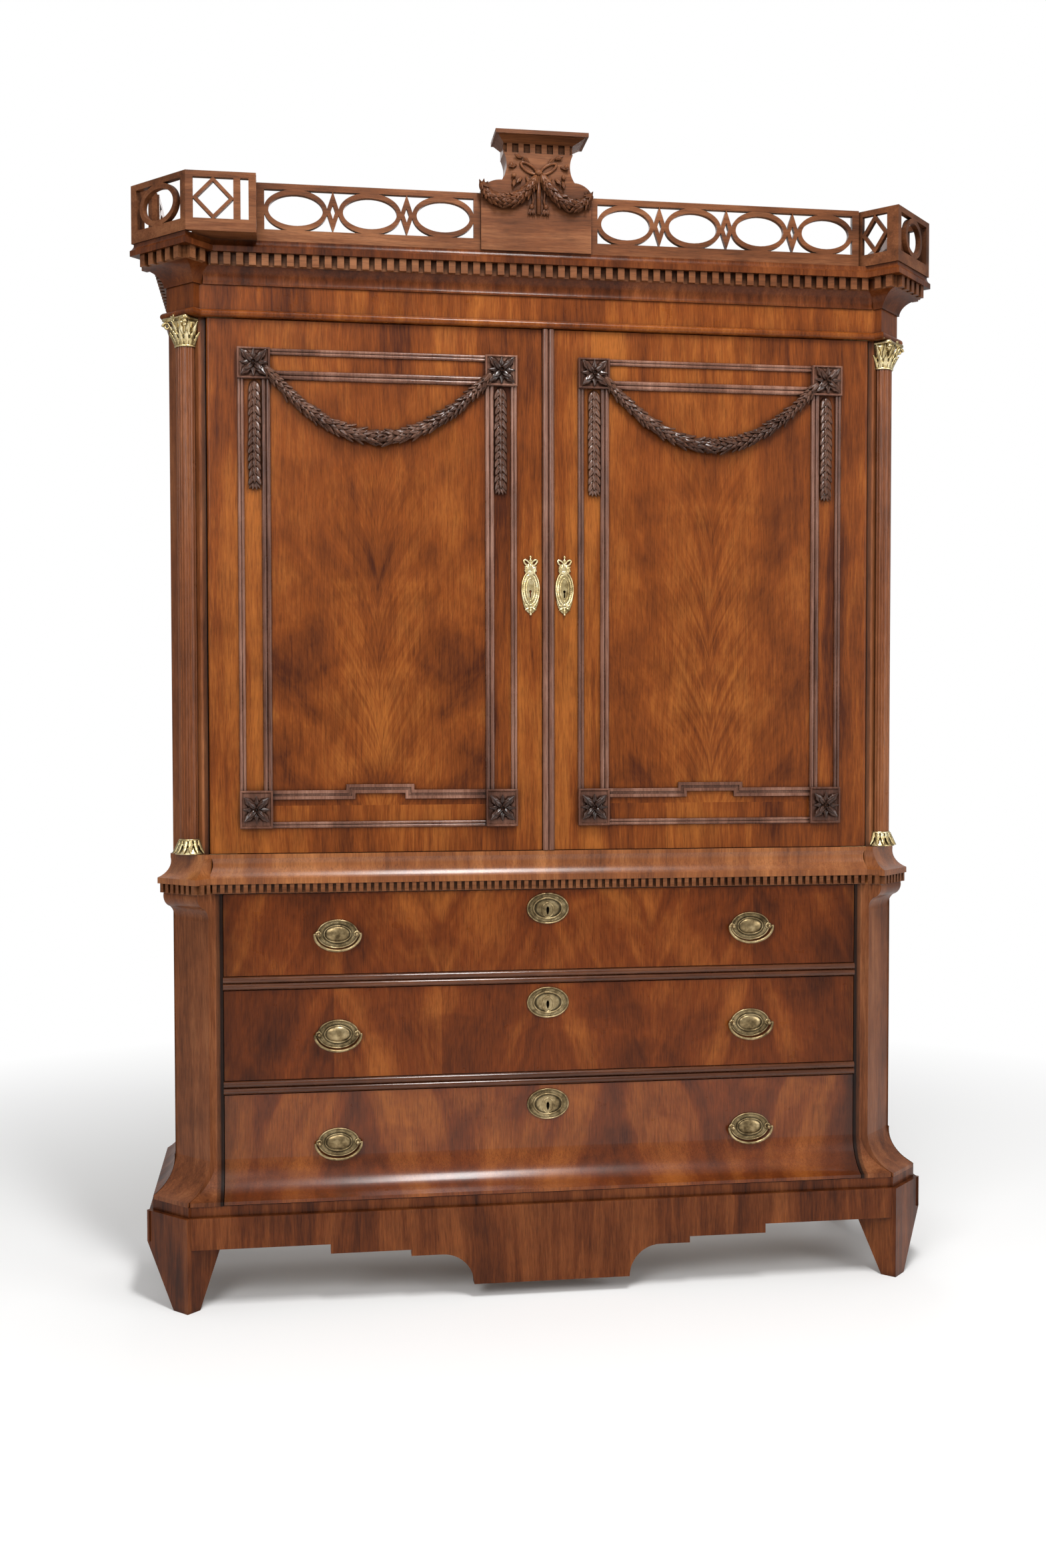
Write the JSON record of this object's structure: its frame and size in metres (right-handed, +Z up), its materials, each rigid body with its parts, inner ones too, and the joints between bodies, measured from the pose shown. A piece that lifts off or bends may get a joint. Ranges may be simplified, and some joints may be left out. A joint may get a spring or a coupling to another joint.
{
  "type": "linen press cabinet",
  "caption": "Two-part mahogany press: doors with carved swags over long drawers, canted corners with columns, dentilled cornice, pierced gallery and a carved crest.",
  "frame": {"origin": "middle of the footprint on the floor", "axes": "+Z up, -Y the front with the doors and drawers, +X to the right seen from the front"},
  "size_m": [1.8444, 0.5232, 2.6],
  "materials": {
    "mahogany": "french polished",
    "flame_mahogany": "french polished veneer",
    "dark_mahogany": "waxed",
    "inner_wood": "plain",
    "brass": "aged"
  },
  "bodies": {
    "carcass": {"chest_sides": "mahogany", "chest_back": "inner_wood", "chest_bottom": "inner_wood", "corner_pilasters": "mahogany", "front_stiles": "mahogany", "apron_rail": "dark_mahogany", "plinth_rails": "dark_mahogany", "front_feet": "dark_mahogany", "rear_feet": "inner_wood", "drawer_dividers": "mahogany", "dust_boards": "inner_wood", "waist_moulding": "mahogany", "chest_top_board": "inner_wood", "waist_dentils": "dark_mahogany", "press_posts": "mahogany", "press_sides": "mahogany", "press_back": "inner_wood", "press_boards": "inner_wood", "shelves": "inner_wood", "columns": "mahogany", "column_brasses": "brass", "frieze": "mahogany", "cornice": "mahogany", "cornice_dentils": "dark_mahogany", "cornice_boards": "inner_wood", "gallery": "dark_mahogany", "gallery_pedestals": "dark_mahogany", "crest": "dark_mahogany", "crest_carving": "dark_mahogany", "pivot_pins": "brass"},
    "drawer_bottom": {"drawer_bottom_front": "flame_mahogany", "drawer_bottom_box": "inner_wood", "drawer_bottom_brasses": "brass"},
    "drawer_bottom_bail_left": {"drawer_bottom_bail_left": "brass"},
    "drawer_bottom_bail_right": {"drawer_bottom_bail_right": "brass"},
    "drawer_bottom_bolt": {"drawer_bottom_bolt": "brass"},
    "drawer_middle": {"drawer_middle_front": "flame_mahogany", "drawer_middle_box": "inner_wood", "drawer_middle_brasses": "brass"},
    "drawer_middle_bail_left": {"drawer_middle_bail_left": "brass"},
    "drawer_middle_bail_right": {"drawer_middle_bail_right": "brass"},
    "drawer_middle_bolt": {"drawer_middle_bolt": "brass"},
    "drawer_top": {"drawer_top_front": "flame_mahogany", "drawer_top_box": "inner_wood", "drawer_top_brasses": "brass"},
    "drawer_top_bail_left": {"drawer_top_bail_left": "brass"},
    "drawer_top_bail_right": {"drawer_top_bail_right": "brass"},
    "drawer_top_bolt": {"drawer_top_bolt": "brass"},
    "door_left": {"door_left_panel": "flame_mahogany", "door_left_frame": "mahogany", "door_left_carving": "dark_mahogany", "door_left_brasses": "brass"},
    "door_right": {"door_right_panel": "flame_mahogany", "door_right_frame": "mahogany", "door_right_carving": "dark_mahogany", "door_right_brasses": "brass"},
    "door_bolt": {"door_bolt": "brass"},
    "door_rod_lower": {"door_rod_lower": "brass"},
    "door_rod_upper": {"door_rod_upper": "brass"}
  },
  "joints": [
    {"name": "drawer_bottom_slide", "type": "slide", "parent": "carcass", "child": "drawer_bottom", "axis": [0, -1, 0], "range_m": [0, 0.3]},
    {"name": "drawer_bottom_bail_left_swing", "type": "hinge", "parent": "drawer_bottom", "child": "drawer_bottom_bail_left", "pos_m": [-0.478, -0.1794, 0.35], "axis": [-1, 0, 0], "range_deg": [0, 100]},
    {"name": "drawer_bottom_bail_right_swing", "type": "hinge", "parent": "drawer_bottom", "child": "drawer_bottom_bail_right", "pos_m": [0.478, -0.1794, 0.35], "axis": [-1, 0, 0], "range_deg": [0, 100]},
    {"name": "drawer_bottom_bolt_throw", "type": "slide", "parent": "drawer_bottom", "child": "drawer_bottom_bolt", "axis": [0, 0, 1], "range_m": [0, 0.009]},
    {"name": "drawer_middle_slide", "type": "slide", "parent": "carcass", "child": "drawer_middle", "axis": [0, -1, 0], "range_m": [0, 0.3]},
    {"name": "drawer_middle_bail_left_swing", "type": "hinge", "parent": "drawer_middle", "child": "drawer_middle_bail_left", "pos_m": [-0.478, -0.1794, 0.595], "axis": [-1, 0, 0], "range_deg": [0, 100]},
    {"name": "drawer_middle_bail_right_swing", "type": "hinge", "parent": "drawer_middle", "child": "drawer_middle_bail_right", "pos_m": [0.478, -0.1794, 0.595], "axis": [-1, 0, 0], "range_deg": [0, 100]},
    {"name": "drawer_middle_bolt_throw", "type": "slide", "parent": "drawer_middle", "child": "drawer_middle_bolt", "axis": [0, 0, 1], "range_m": [0, 0.009]},
    {"name": "drawer_top_slide", "type": "slide", "parent": "carcass", "child": "drawer_top", "axis": [0, -1, 0], "range_m": [0, 0.3]},
    {"name": "drawer_top_bail_left_swing", "type": "hinge", "parent": "drawer_top", "child": "drawer_top_bail_left", "pos_m": [-0.478, -0.1794, 0.821], "axis": [-1, 0, 0], "range_deg": [0, 100]},
    {"name": "drawer_top_bail_right_swing", "type": "hinge", "parent": "drawer_top", "child": "drawer_top_bail_right", "pos_m": [0.478, -0.1794, 0.821], "axis": [-1, 0, 0], "range_deg": [0, 100]},
    {"name": "drawer_top_bolt_throw", "type": "slide", "parent": "drawer_top", "child": "drawer_top_bolt", "axis": [0, 0, 1], "range_m": [0, 0.009]},
    {"name": "door_left_swing", "type": "hinge", "parent": "carcass", "child": "door_left", "pos_m": [-0.752, -0.1624, 1.003], "axis": [0, 0, -1], "range_deg": [0, 100]},
    {"name": "door_right_swing", "type": "hinge", "parent": "carcass", "child": "door_right", "pos_m": [0.752, -0.1624, 1.003], "axis": [0, 0, 1], "range_deg": [0, 100]},
    {"name": "door_bolt_throw", "type": "slide", "parent": "door_right", "child": "door_bolt", "axis": [-1, 0, 0], "range_m": [0, 0.012]},
    {"name": "door_rod_lower_throw", "type": "slide", "parent": "door_left", "child": "door_rod_lower", "axis": [0, 0, -1], "range_m": [0, 0.011]},
    {"name": "door_rod_upper_throw", "type": "slide", "parent": "door_left", "child": "door_rod_upper", "axis": [0, 0, 1], "range_m": [0, 0.011]}
  ]
}
